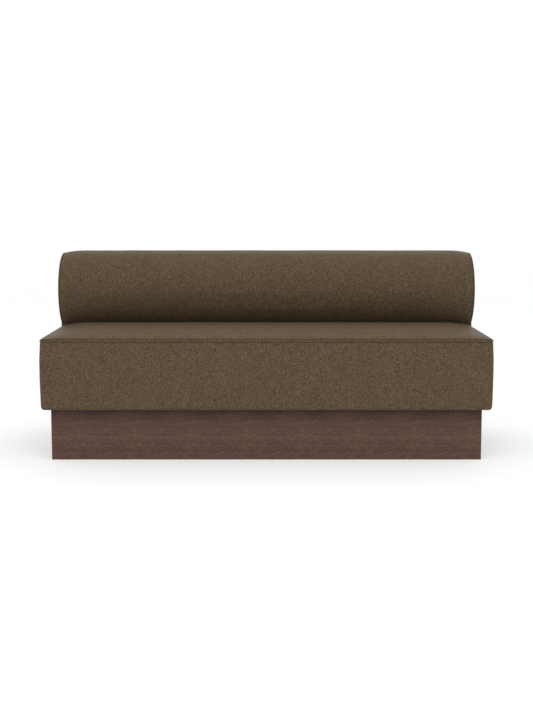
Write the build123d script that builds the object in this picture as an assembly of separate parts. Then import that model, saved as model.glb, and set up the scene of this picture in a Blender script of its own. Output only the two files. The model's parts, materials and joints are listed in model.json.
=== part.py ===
from build123d import *
from math import acos, degrees, sqrt
import os

# Dining sofa: a box seat and a bolster back on a plinth that stands back from the floor line.
# The origin is on the floor, in the middle of the sofa. X runs along it, the front faces -Y, Z is up.
# All sizes are in millimetres.

# The whole sofa, over its fabric
SEAT_WIDTH = 1666.0
SEAT_DEPTH = 471.6
SEAT_THICKNESS = 256.0
SEAT_CROWN = 24.0
PLINTH_HEIGHT = 190.0
PLINTH_SETBACK = 36.0
BACK_STEP = 6.0
ROLL_DIAMETER = 310.0
ROLL_GAP = 2.0
ROLL_OVERHANG_SHARE = 0.436

# Upholstery
COVER_THICKNESS = 2.5
COVER_FIT = 0.3
PIPING_WIDTH = 5.0
PIPING_PROUD = 1.2
PIPING_ROUNDING_SHARE = 0.45
SEAT_BULGE = 3.5
SEAT_LOWER_RADIUS = 11.0
SEAT_CORNER_RADIUS = 14.0
CORNER_EASE = 0.5
PIPING_CORNER_RADIUS = 6.0
CROWN_RUN_AT_ENDS = 135.0
CROWN_RUN_AT_FRONT = 125.0
COVER_RETURN = 50.0
RAIL_PADDING = 14.0
UPRIGHT_FOAM = 12.0
REAR_FOAM = 12.0
ROLL_FOAM_SHARE = 0.258
END_PADDING = 15.0
ROLL_TAPER_RUN = 100.0
ROLL_TAPER_DROP = 8.0
TAPER_RUN_SHARES = (1.0, 0.35, 0.0)
TAPER_DROP_SHARES = (0.0, 0.3, 1.0)
END_COVER_CROWN = 2.0
END_COVER_CROWN_RUN = 30.0

# Boards and rails
PANEL_THICKNESS = 18.0
CORNER_BLOCK = 45.0
BATTEN = 30.0
CROSS_RAIL_THICKNESS = 18.0
PLINTH_RAIL_SHARES = (-0.17, 0.17)
BASE_BOARD = 12.0
SEAT_RAIL_THICKNESS = 22.0
SEAT_RAIL_HEIGHT = 118.0
SEAT_CROSS_RAIL_HEIGHT = 80.0
SEAT_CROSS_RAIL_SHARES = (-0.25, 0.0, 0.25)
GLUE_BLOCK_LEG = 60.0
GLUE_BLOCK_HEIGHT = 100.0
WEBBING_COUNT = 13
WEBBING_WIDTH = 70.0
WEBBING_THICKNESS = 2.0
FELT_THICKNESS = 2.0
FACING_BOARD = 9.0
ROLL_BOARD = 6.0
RIB_THICKNESS = 18.0
RIB_COUNT = 5
RIB_HOLE_SHARE = 0.357
RIB_SLOT_WIDTH_SHARE = 0.433
RIB_SLOT_HEIGHT = 120.0
RIB_SLOT_ROUNDING_SHARE = 0.22
RIB_SLOT_RISE = 140.0
BACK_RAIL_THICKNESS = 22.0
BACK_RAIL_HEIGHT = 95.0
BACK_BATTEN_WIDTH = 36.0
BACK_BATTEN_HEIGHT = 36.0
TOP_BATTEN_COVER = 4.0
REAR_BATTEN_DROP = 40.0

# Fixings
BOLT_RADIUS = 4.0
BOLT_HEAD_WIDTH = 13.0
BOLT_HEAD_HEIGHT = 5.3
BOLT_HOLE_CLEARANCE = 0.25
BOLT_RISE = 50.0
BOLT_END_CLEARANCE = 18.0
BOLT_SHARES = (-1.0, -0.333, 0.333, 1.0)
WASHER_RADIUS = 12.0
WASHER_THICKNESS = 2.0
TEE_NUT_FLANGE_RADIUS = 11.0
TEE_NUT_FLANGE = 1.5
TEE_NUT_BARREL_RADIUS = 5.5
TEE_NUT_BARREL = 14.0
SCREW_RADIUS = 2.2
SCREW_HEAD_RADIUS = 4.4
SCREW_HEAD_HEIGHT = 2.4
SCREW_TIP = 3.0
SCREW_BITE = 10.0
SCREW_FIT = 0.1
LONG_SCREW_SHARES = (-0.96, -0.48, 0.0, 0.48, 0.96)
SHORT_SCREW_SHARES = (-0.62, 0.88)

# Levelling glides, shown screwed fully in
GLIDE_FLOOR_GAP = 1.0
GLIDE_PAD_RADIUS = 16.0
GLIDE_PAD_HEIGHT = 8.0
GLIDE_PAD_FLOOR = 2.4
GLIDE_PAD_ROUNDING = 1.5
GLIDE_FOOT_RADIUS = 7.0
GLIDE_FOOT_HEIGHT = 3.0
GLIDE_STEM_RADIUS = 4.0
GLIDE_STEM_LENGTH = 46.0
GLIDE_COLLAR_WIDTH = 13.0
GLIDE_COLLAR_HEIGHT = 4.0
GLIDE_RUNNING_FIT = 0.08
GLIDE_END_FIT = 0.3
GLIDE_BORE_CLEARANCE = 0.8

# Places that follow from the sizes above
# The roll meets the upright just above the seat, and its size gives the back its height.
SEAM_Z = PLINTH_HEIGHT + SEAT_THICKNESS
SEAT_TOP_Z = SEAM_Z + SEAT_CROWN
ROLL_RADIUS = ROLL_DIAMETER / 2
ROLL_TUCK_SHARE = sqrt(1 - (1 - ROLL_OVERHANG_SHARE) ** 2)
ROLL_OVERHANG = ROLL_OVERHANG_SHARE * ROLL_RADIUS
ROLL_TUCK_Z = SEAT_TOP_Z + ROLL_GAP
ROLL_Z = ROLL_TUCK_Z + ROLL_TUCK_SHARE * ROLL_RADIUS
BACK_HEIGHT = ROLL_Z + ROLL_RADIUS

HALF_WIDTH = SEAT_WIDTH / 2
TOTAL_DEPTH = SEAT_DEPTH - ROLL_OVERHANG + 2 * ROLL_RADIUS
FRONT_Y = -TOTAL_DEPTH / 2
REAR_Y = TOTAL_DEPTH / 2
UPRIGHT_Y = FRONT_Y + SEAT_DEPTH
ROLL_Y = REAR_Y - ROLL_RADIUS
PIPING_LOW_Z = SEAM_Z - PIPING_WIDTH / 2
PIPING_TOP_Z = SEAM_Z + PIPING_WIDTH / 2
DRAWN_IN_X = HALF_WIDTH - SEAT_BULGE
DRAWN_IN_Y = FRONT_Y + SEAT_BULGE

BASE_Z = PLINTH_HEIGHT + COVER_THICKNESS
RAIL_Z = BASE_Z + BASE_BOARD
WEBBING_Z = RAIL_Z + SEAT_RAIL_HEIGHT
FELT_Z = WEBBING_Z + WEBBING_THICKNESS
DECK_Z = FELT_Z + FELT_THICKNESS
SEAT_FRAME_X = DRAWN_IN_X - COVER_THICKNESS - RAIL_PADDING
SEAT_FRAME_FRONT_Y = DRAWN_IN_Y + COVER_THICKNESS + RAIL_PADDING
SEAT_FRAME_REAR_Y = UPRIGHT_Y - COVER_THICKNESS
CLOTH_X = HALF_WIDTH - COVER_RETURN
CLOTH_FRONT_Y = FRONT_Y + COVER_RETURN

BACK_END_X = HALF_WIDTH - BACK_STEP - PIPING_WIDTH
BACK_FRAME_X = BACK_END_X - END_PADDING
FACING_Y = UPRIGHT_Y + COVER_THICKNESS + UPRIGHT_FOAM
RIB_FRONT_Y = FACING_Y + FACING_BOARD
REAR_BOARD_Y = REAR_Y - COVER_THICKNESS - REAR_FOAM
RIB_REAR_Y = REAR_BOARD_Y - FACING_BOARD
ROLL_FOAM = ROLL_FOAM_SHARE * ROLL_RADIUS
ROLL_BOARD_RADIUS = ROLL_RADIUS - COVER_THICKNESS - ROLL_FOAM
RIB_RADIUS = ROLL_BOARD_RADIUS - ROLL_BOARD
RIB_SLOT_WIDTH = RIB_SLOT_WIDTH_SHARE * (RIB_REAR_Y - RIB_FRONT_Y)
END_RADIUS = ROLL_RADIUS - ROLL_TAPER_DROP

PLINTH_X = HALF_WIDTH - PLINTH_SETBACK
PLINTH_Y = REAR_Y - PLINTH_SETBACK
PLINTH_INNER_X = PLINTH_X - PANEL_THICKNESS
PLINTH_INNER_Y = PLINTH_Y - PANEL_THICKNESS
LONG_BATTEN_END = PLINTH_INNER_X - CORNER_BLOCK
SHORT_BATTEN_END = PLINTH_INNER_Y - CORNER_BLOCK
BATTEN_Z = PLINTH_HEIGHT - BATTEN
GLIDE_COLLAR_Z = GLIDE_FLOOR_GAP + GLIDE_PAD_HEIGHT + GLIDE_END_FIT
GLIDE_NUT_Z = GLIDE_COLLAR_Z + GLIDE_COLLAR_HEIGHT + GLIDE_END_FIT
BLOCK_Z = GLIDE_NUT_Z + TEE_NUT_FLANGE
BACK_BOLT_Z = RAIL_Z + BOLT_RISE
OVERRUN = 10.0

nodes = {}


def block(low, high):
    """A box from its lowest corner to its highest one."""
    sizes = [top - bottom for bottom, top in zip(low, high)]
    return Pos(*low) * Box(*sizes, align=(Align.MIN, Align.MIN, Align.MIN))


def slab(low_z, high_z, low_y=FRONT_Y - OVERRUN, high_y=REAR_Y + OVERRUN, half_x=HALF_WIDTH + OVERRUN):
    """A box as wide as the sofa, used to keep one layer of a form."""
    return block((-half_x, low_y, low_z), (half_x, high_y, high_z))


def rod(radius, start, length, direction):
    """A cylinder from a point along a direction."""
    plane = Plane(origin=start, z_dir=direction)
    return plane * Cylinder(radius, length, align=(Align.CENTER, Align.CENTER, Align.MIN))


def hexagon(width, start, length, direction):
    """A six-sided bar, measured across its flats."""
    plane = Plane(origin=start, z_dir=direction)
    return extrude(plane * RegularPolygon(width / 2, 6, major_radius=False), length)


def group(shapes):
    """Separate solids kept together in one node."""
    solids = [solid for shape in shapes for solid in shape.solids()]
    return Compound(children=solids)


def mirrored(shape):
    """The same piece at the other end of the sofa."""
    return mirror(shape, about=Plane.YZ)


# Seat forms


def seat_side(reach, inset, crown_run):
    """One side of the seat in section: lower edge, bulging boxing and the crown's shoulder."""
    drawn_in = reach - SEAT_BULGE - inset
    bottom = PLINTH_HEIGHT + inset
    rounding = SEAT_LOWER_RADIUS - inset
    crown_centre = reach - SEAT_BULGE - crown_run
    middle = (bottom + rounding + PIPING_TOP_Z) / 2
    rise = SEAT_TOP_Z - inset - PIPING_TOP_Z
    return [
        CenterArc((drawn_in - rounding, bottom + rounding), rounding, -90, 90),
        ThreePointArc((drawn_in, bottom + rounding), (reach - inset, middle), (drawn_in, PIPING_TOP_Z)),
        EllipticalCenterArc((crown_centre, PIPING_TOP_Z), drawn_in - crown_centre, rise, arc_size=90),
    ]


def seat_form(inset):
    """The seat's outer form moved inwards: two crowned sections and a rounded plan in common."""
    bottom = PLINTH_HEIGHT + inset
    top = SEAT_TOP_Z - inset
    right = seat_side(HALF_WIDTH, inset, CROWN_RUN_AT_ENDS)
    left = [mirror(edge, about=Plane.YZ) for edge in right]
    foot_x = HALF_WIDTH - SEAT_BULGE - SEAT_LOWER_RADIUS
    crown_x = HALF_WIDTH - SEAT_BULGE - CROWN_RUN_AT_ENDS
    long_section = make_face([
        *right,
        Line((crown_x, top), (-crown_x, top)),
        *left,
        Line((-foot_x, bottom), (foot_x, bottom)),
    ])
    long_plane = Plane(origin=(0, REAR_Y, 0), x_dir=(1, 0, 0), z_dir=(0, -1, 0))
    along = extrude(long_plane * long_section, TOTAL_DEPTH + OVERRUN)

    reach = -FRONT_Y
    rear = -(UPRIGHT_Y - inset)
    front = seat_side(reach, inset, CROWN_RUN_AT_FRONT)
    foot_y = reach - SEAT_BULGE - SEAT_LOWER_RADIUS
    crown_y = reach - SEAT_BULGE - CROWN_RUN_AT_FRONT
    cross_section = make_face([
        *front,
        Line((crown_y, top), (rear, top)),
        Line((rear, top), (rear, bottom)),
        Line((rear, bottom), (foot_y, bottom)),
    ])
    cross_plane = Plane(origin=(HALF_WIDTH + OVERRUN, 0, 0), x_dir=(0, -1, 0), z_dir=(-1, 0, 0))
    across = extrude(cross_plane * cross_section, 2 * (HALF_WIDTH + OVERRUN))

    plan = slab(PLINTH_HEIGHT, SEAT_TOP_Z, FRONT_Y + inset - CORNER_EASE, UPRIGHT_Y + OVERRUN,
                HALF_WIDTH - inset + CORNER_EASE)
    corners = plan.edges().filter_by(Axis.Z).sort_by(Axis.Y)[:2]
    plan = fillet(corners, SEAT_CORNER_RADIUS - inset)
    return along & across & plan


def seat_cover():
    """The sewn cover of the seat: top, boxing, rear lining and the cloth under the base board."""
    shell = seat_form(0) - seat_form(COVER_THICKNESS)
    lining_y = UPRIGHT_Y - COVER_THICKNESS
    cloth = block((-CLOTH_X, CLOTH_FRONT_Y, PLINTH_HEIGHT), (CLOTH_X, lining_y, BASE_Z))
    below = PLINTH_HEIGHT - OVERRUN
    above = SEAT_TOP_Z + OVERRUN
    nodes["seat_cover_rear"] = shell & slab(below, above, low_y=lining_y)
    nodes["seat_cover_top"] = shell & slab(PIPING_TOP_Z, above, high_y=lining_y)
    nodes["seat_cover_boxing"] = (shell & slab(below, PIPING_LOW_Z, high_y=lining_y)) - cloth
    nodes["seat_base_cloth"] = cloth
    nodes["seat_piping"] = seat_piping(lining_y)


def seat_piping(rear_y):
    """The cord between the top and the boxing, round the front and both ends."""
    outer = slab(PIPING_LOW_Z, PIPING_TOP_Z, DRAWN_IN_Y - PIPING_PROUD, UPRIGHT_Y + OVERRUN,
                 DRAWN_IN_X + PIPING_PROUD)
    outer = fillet(outer.edges().filter_by(Axis.Z).sort_by(Axis.Y)[:2], PIPING_CORNER_RADIUS)
    rims = outer.faces().sort_by(Axis.Z)
    outer = fillet(rims[0].edges() + rims[-1].edges(), PIPING_WIDTH * PIPING_ROUNDING_SHARE)
    return (outer - seat_form(COVER_THICKNESS)) & slab(PIPING_LOW_Z, PIPING_TOP_Z, high_y=rear_y)


def seat_foam():
    """The crowned foam block and the padding round the rails."""
    body = seat_form(COVER_THICKNESS + COVER_FIT)
    below = PLINTH_HEIGHT - OVERRUN
    nodes["seat_foam"] = body & slab(DECK_Z, SEAT_TOP_Z)
    nodes["seat_padding_front"] = body & slab(below, DECK_Z, high_y=SEAT_FRAME_FRONT_Y)
    left = body & block((-HALF_WIDTH, SEAT_FRAME_FRONT_Y, below), (-SEAT_FRAME_X, UPRIGHT_Y, DECK_Z))
    nodes["seat_padding_left"] = left
    nodes["seat_padding_right"] = mirrored(left)


# Back forms


def back_face(radius, front_y, bottom_z, x):
    """The back's end outline: an upright with a roll on it, and a rear face that meets the roll."""
    tuck_angle = 180 + degrees(acos((ROLL_Y - front_y) / radius))
    tuck_z = ROLL_Z - sqrt(radius ** 2 - (ROLL_Y - front_y) ** 2)
    rear_y = ROLL_Y + radius
    outline = make_face([
        Line((front_y, bottom_z), (front_y, tuck_z)),
        CenterArc((ROLL_Y, ROLL_Z), radius, 90, tuck_angle - 90),
        CenterArc((ROLL_Y, ROLL_Z), radius, 0, 90),
        Line((rear_y, ROLL_Z), (rear_y, bottom_z)),
        Line((rear_y, bottom_z), (front_y, bottom_z)),
    ])
    return Plane(origin=(x, 0, 0), x_dir=(0, 1, 0), z_dir=(1, 0, 0)) * outline


def back_form(inset):
    """The back's outer form moved inwards: a straight run that tapers a little at both ends."""
    front_y = UPRIGHT_Y + inset
    bottom_z = PLINTH_HEIGHT + inset
    stations = []
    for run, drop in zip(TAPER_RUN_SHARES, TAPER_DROP_SHARES):
        radius = ROLL_RADIUS - inset - ROLL_TAPER_DROP * drop
        stations.append(back_face(radius, front_y, bottom_z, BACK_END_X - ROLL_TAPER_RUN * run))
    straight_x = BACK_END_X - ROLL_TAPER_RUN
    straight = extrude(back_face(ROLL_RADIUS - inset, front_y, bottom_z, -straight_x), 2 * straight_x)
    end = loft(stations, ruled=True)
    return straight + end + mirrored(end)


def end_outline(depth, x):
    """The outline of an end at a depth inside its piping."""
    return back_face(END_RADIUS - depth, UPRIGHT_Y + depth, PLINTH_HEIGHT, x)


def back_cover():
    """The sewn cover of the back: wrap, rear panel, ends, piping and the cloth underneath."""
    shell = back_form(0) - back_form(COVER_THICKNESS)
    rear_panel = block((-HALF_WIDTH, REAR_BOARD_Y, BASE_Z), (HALF_WIDTH, REAR_Y + OVERRUN, ROLL_Z))
    nodes["back_base_cloth"] = shell & slab(PLINTH_HEIGHT - OVERRUN, BASE_Z)
    nodes["back_cover_rear"] = shell & rear_panel
    nodes["back_cover_wrap"] = (shell & slab(BASE_Z, BACK_HEIGHT)) - rear_panel

    outer = back_face(END_RADIUS + PIPING_PROUD, UPRIGHT_Y, PLINTH_HEIGHT, BACK_END_X)
    ring = extrude(outer, PIPING_WIDTH)
    ring -= extrude(end_outline(COVER_THICKNESS + PIPING_PROUD, BACK_END_X), PIPING_WIDTH)
    nodes["back_piping_right"] = ring
    nodes["back_piping_left"] = mirrored(ring)

    edge_depth = COVER_THICKNESS + PIPING_PROUD
    plate = extrude(end_outline(edge_depth, BACK_END_X), COVER_THICKNESS)
    dome = loft([
        end_outline(edge_depth, BACK_END_X + COVER_THICKNESS),
        end_outline(edge_depth + END_COVER_CROWN_RUN, BACK_END_X + COVER_THICKNESS + END_COVER_CROWN),
    ], ruled=True)
    nodes["back_end_cover_right"] = plate + dome
    nodes["back_end_cover_left"] = mirrored(plate + dome)


def back_frame_form(radius, front_y, rear_y, low_z, low_x, high_x):
    """A straight length of the frame's outline: a round on an upright block."""
    upright = block((low_x, front_y, low_z), (high_x, rear_y, ROLL_Z))
    return upright + rod(radius, (low_x, ROLL_Y, ROLL_Z), high_x - low_x, (1, 0, 0))


def back_foam():
    """The foam on the back: round the roll, on the upright, on the rear and at both ends."""
    body = back_form(COVER_THICKNESS + COVER_FIT)
    frame = back_frame_form(ROLL_BOARD_RADIUS, FACING_Y, REAR_BOARD_Y, BASE_Z, -BACK_FRAME_X, BACK_FRAME_X)
    wrapped = (body - frame) & slab(PLINTH_HEIGHT, BACK_HEIGHT, half_x=BACK_FRAME_X)
    rear = slab(PLINTH_HEIGHT, ROLL_Z, low_y=REAR_BOARD_Y)
    nodes["back_rear_foam"] = wrapped & rear
    nodes["back_upright_foam"] = wrapped & slab(DECK_Z, ROLL_TUCK_Z, high_y=FACING_Y)
    nodes["back_roll_foam"] = (wrapped & slab(ROLL_TUCK_Z, BACK_HEIGHT)) - rear
    end = body & block((BACK_FRAME_X, FRONT_Y, PLINTH_HEIGHT), (HALF_WIDTH, REAR_Y, BACK_HEIGHT))
    nodes["back_end_padding_right"] = end
    nodes["back_end_padding_left"] = mirrored(end)


# Frames


def bolt_places():
    """Where the bolts go through the seat's rear rail into the back."""
    block_x = SEAT_FRAME_X - SEAT_RAIL_THICKNESS - GLUE_BLOCK_LEG
    outer_x = block_x - BOLT_END_CLEARANCE - WASHER_RADIUS
    return [share * outer_x for share in BOLT_SHARES]


def bolt_holes(radius, start_y, end_y):
    """Round holes for the bolts between two faces."""
    return [rod(radius, (x, start_y, BACK_BOLT_Z), end_y - start_y, (0, 1, 0)) for x in bolt_places()]


def seat_frame():
    """The wooden frame of the seat with its webbing and felt."""
    inner_x = SEAT_FRAME_X - SEAT_RAIL_THICKNESS
    inner_front = SEAT_FRAME_FRONT_Y + SEAT_RAIL_THICKNESS
    inner_rear = SEAT_FRAME_REAR_Y - SEAT_RAIL_THICKNESS
    nodes["seat_base_board"] = block((-SEAT_FRAME_X, SEAT_FRAME_FRONT_Y, BASE_Z),
                                     (SEAT_FRAME_X, SEAT_FRAME_REAR_Y, RAIL_Z))
    nodes["seat_front_rail"] = block((-SEAT_FRAME_X, SEAT_FRAME_FRONT_Y, RAIL_Z),
                                     (SEAT_FRAME_X, inner_front, WEBBING_Z))
    nodes["seat_rear_rail"] = block((-SEAT_FRAME_X, inner_rear, RAIL_Z),
                                    (SEAT_FRAME_X, SEAT_FRAME_REAR_Y, WEBBING_Z))
    right = block((inner_x, inner_front, RAIL_Z), (SEAT_FRAME_X, inner_rear, WEBBING_Z))
    nodes["seat_right_rail"] = right
    nodes["seat_left_rail"] = mirrored(right)

    middle_y = (inner_front + inner_rear) / 2
    half_run = (inner_rear - inner_front) / 2
    cross_rails = []
    for share in SEAT_CROSS_RAIL_SHARES:
        low_x = share * SEAT_WIDTH - SEAT_RAIL_THICKNESS / 2
        high_x = low_x + SEAT_RAIL_THICKNESS
        cross_rails.append(block((low_x, inner_front, RAIL_Z),
                                 (high_x, inner_rear, RAIL_Z + SEAT_CROSS_RAIL_HEIGHT)))
    nodes["seat_cross_rails"] = group(cross_rails)

    glue_blocks = []
    for x_sign in (-1, 1):
        for y_sign in (-1, 1):
            corner = (x_sign * inner_x, middle_y + y_sign * half_run)
            along_x = (corner[0] - x_sign * GLUE_BLOCK_LEG, corner[1])
            along_y = (corner[0], corner[1] - y_sign * GLUE_BLOCK_LEG)
            triangle = make_face(Polyline(corner, along_x, along_y, close=True))
            glue_blocks.append(extrude(Pos(0, 0, RAIL_Z) * triangle, GLUE_BLOCK_HEIGHT, dir=(0, 0, 1)))
    nodes["seat_glue_blocks"] = group(glue_blocks)

    pitch = (2 * SEAT_FRAME_X - WEBBING_WIDTH) / (WEBBING_COUNT - 1)
    belts = []
    for index in range(WEBBING_COUNT):
        low_x = -SEAT_FRAME_X + index * pitch
        belts.append(block((low_x, SEAT_FRAME_FRONT_Y, WEBBING_Z),
                           (low_x + WEBBING_WIDTH, SEAT_FRAME_REAR_Y, FELT_Z)))
    nodes["seat_webbing"] = group(belts)
    nodes["seat_felt"] = block((-SEAT_FRAME_X, SEAT_FRAME_FRONT_Y, FELT_Z),
                               (SEAT_FRAME_X, SEAT_FRAME_REAR_Y, DECK_Z))


def back_frame():
    """The ribs of the back, the rails through them and the boards on them."""
    top_batten_z = ROLL_Z + sqrt(RIB_RADIUS ** 2 - (BACK_BATTEN_WIDTH / 2) ** 2) - TOP_BATTEN_COVER
    top_batten = block((-BACK_FRAME_X, ROLL_Y - BACK_BATTEN_WIDTH / 2, top_batten_z - BACK_BATTEN_HEIGHT),
                       (BACK_FRAME_X, ROLL_Y + BACK_BATTEN_WIDTH / 2, top_batten_z))
    rear_batten_z = ROLL_Z - REAR_BATTEN_DROP
    rear_batten = block(
        (-BACK_FRAME_X, RIB_REAR_Y - BACK_RAIL_THICKNESS, rear_batten_z - BACK_BATTEN_HEIGHT),
        (BACK_FRAME_X, RIB_REAR_Y, rear_batten_z))
    bottom_rail = block((-BACK_FRAME_X, RIB_FRONT_Y, RAIL_Z),
                        (BACK_FRAME_X, RIB_FRONT_Y + BACK_RAIL_THICKNESS, RAIL_Z + BACK_RAIL_HEIGHT))
    middle_y = (RIB_FRONT_Y + RIB_REAR_Y) / 2
    pitch = (2 * BACK_FRAME_X - RIB_THICKNESS) / (RIB_COUNT - 1)
    ribs = []
    for index in range(RIB_COUNT):
        low_x = -BACK_FRAME_X + index * pitch
        high_x = low_x + RIB_THICKNESS
        rib = back_frame_form(RIB_RADIUS, RIB_FRONT_Y, RIB_REAR_Y, RAIL_Z, low_x, high_x)
        rib -= rod(RIB_HOLE_SHARE * RIB_RADIUS, (low_x, ROLL_Y, ROLL_Z), RIB_THICKNESS, (1, 0, 0))
        slot = block((low_x, middle_y - RIB_SLOT_WIDTH / 2, RAIL_Z + RIB_SLOT_RISE),
                     (high_x, middle_y + RIB_SLOT_WIDTH / 2, RAIL_Z + RIB_SLOT_RISE + RIB_SLOT_HEIGHT))
        rib -= fillet(slot.edges().filter_by(Axis.X), RIB_SLOT_ROUNDING_SHARE * RIB_SLOT_WIDTH)
        ribs.append(rib - top_batten - rear_batten - bottom_rail)
    nodes["back_ribs"] = group(ribs)
    nodes["back_top_batten"] = top_batten
    nodes["back_rear_batten"] = rear_batten
    nodes["back_bottom_rail"] = bottom_rail
    nodes["back_base_board"] = block((-BACK_FRAME_X, RIB_FRONT_Y, BASE_Z),
                                     (BACK_FRAME_X, RIB_REAR_Y, RAIL_Z))

    roll = rod(ROLL_BOARD_RADIUS, (-BACK_FRAME_X, ROLL_Y, ROLL_Z), 2 * BACK_FRAME_X, (1, 0, 0))
    core = rod(RIB_RADIUS, (-BACK_FRAME_X, ROLL_Y, ROLL_Z), 2 * BACK_FRAME_X, (1, 0, 0))
    behind = block((-BACK_FRAME_X, RIB_FRONT_Y, BASE_Z), (BACK_FRAME_X, REAR_Y, ROLL_Z))
    nodes["back_roll_board"] = roll - core - behind
    facing = block((-BACK_FRAME_X, FACING_Y, BASE_Z), (BACK_FRAME_X, RIB_FRONT_Y, ROLL_Z))
    nodes["back_front_board"] = facing - roll
    nodes["back_rear_board"] = block((-BACK_FRAME_X, RIB_REAR_Y, BASE_Z),
                                     (BACK_FRAME_X, REAR_BOARD_Y, ROLL_Z))
    nodes["back_mounting_board"] = block((-BACK_FRAME_X, UPRIGHT_Y + COVER_THICKNESS, BASE_Z),
                                         (BACK_FRAME_X, FACING_Y, DECK_Z))


def plinth():
    """The veneered box under the sofa, with its blocks, rails and battens."""

    def mitred_panel(length, face, angle):
        """One side of the plinth, cut at 45 degrees at both ends."""
        inner = length / 2 - PANEL_THICKNESS
        outline = make_face(Polyline((-length / 2, face), (length / 2, face),
                                     (inner, face - PANEL_THICKNESS), (-inner, face - PANEL_THICKNESS),
                                     close=True))
        return Rot(0, 0, angle) * extrude(outline, PLINTH_HEIGHT, dir=(0, 0, 1))

    nodes["plinth_rear"] = mitred_panel(2 * PLINTH_X, PLINTH_Y, 0)
    nodes["plinth_front"] = mitred_panel(2 * PLINTH_X, PLINTH_Y, 180)
    nodes["plinth_left"] = mitred_panel(2 * PLINTH_Y, PLINTH_X, 90)
    nodes["plinth_right"] = mitred_panel(2 * PLINTH_Y, PLINTH_X, -90)

    blocks = []
    half = CORNER_BLOCK / 2
    for x, y in glide_places():
        corner_block = block((x - half, y - half, BLOCK_Z), (x + half, y + half, PLINTH_HEIGHT))
        bore_length = GLIDE_STEM_LENGTH + OVERRUN
        start = (x, y, BLOCK_Z)
        corner_block -= rod(GLIDE_STEM_RADIUS + GLIDE_BORE_CLEARANCE, start, bore_length, (0, 0, 1))
        corner_block -= rod(TEE_NUT_BARREL_RADIUS + SCREW_FIT, start, TEE_NUT_BARREL, (0, 0, 1))
        blocks.append(corner_block)
    nodes["plinth_corner_blocks"] = group(blocks)

    rails = []
    for share in PLINTH_RAIL_SHARES:
        low_x = share * SEAT_WIDTH - CROSS_RAIL_THICKNESS / 2
        rails.append(block((low_x, -PLINTH_INNER_Y, BLOCK_Z),
                           (low_x + CROSS_RAIL_THICKNESS, PLINTH_INNER_Y, BATTEN_Z)))
    nodes["plinth_cross_rails"] = group(rails)

    long_batten = block((-LONG_BATTEN_END, PLINTH_INNER_Y - BATTEN, BATTEN_Z),
                        (LONG_BATTEN_END, PLINTH_INNER_Y, PLINTH_HEIGHT))
    short_batten = block((PLINTH_INNER_X - BATTEN, -SHORT_BATTEN_END, BATTEN_Z),
                         (PLINTH_INNER_X, SHORT_BATTEN_END, PLINTH_HEIGHT))
    nodes["plinth_battens"] = group([long_batten, mirror(long_batten, about=Plane.XZ), short_batten,
                                     mirrored(short_batten)])


def fixing_screws():
    """Screws up through the battens, and their holes in what they pass through."""
    middle_y = PLINTH_INNER_Y - BATTEN / 2
    middle_x = PLINTH_INNER_X - BATTEN / 2
    places = []
    for side in (-1, 1):
        places += [(share * LONG_BATTEN_END, side * middle_y) for share in LONG_SCREW_SHARES]
        places += [(side * middle_x, share * SHORT_BATTEN_END) for share in SHORT_SCREW_SHARES]
    length = BATTEN + COVER_THICKNESS + SCREW_BITE
    outline = make_face(Polyline((0, 0), (SCREW_HEAD_RADIUS, 0), (SCREW_RADIUS, SCREW_HEAD_HEIGHT),
                                 (SCREW_RADIUS, length - SCREW_TIP), (0, length), close=True))
    screw = revolve(Plane.XZ * outline, Axis.Z)
    fitted = make_face(Polyline((0, 0), (SCREW_HEAD_RADIUS + SCREW_FIT, 0),
                                (SCREW_RADIUS + SCREW_FIT, SCREW_HEAD_HEIGHT),
                                (SCREW_RADIUS + SCREW_FIT, length - SCREW_TIP),
                                (0, length + SCREW_FIT), close=True))
    hole = revolve(Plane.XZ * fitted, Axis.Z)
    nodes["plinth_screws"] = group([Pos(x, y, BATTEN_Z) * screw for x, y in places])
    holes = [Pos(x, y, BATTEN_Z) * hole for x, y in places]
    for name in ("plinth_battens", "seat_base_cloth", "seat_base_board", "back_base_cloth",
                 "back_base_board"):
        nodes[name] = nodes[name] - holes


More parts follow.
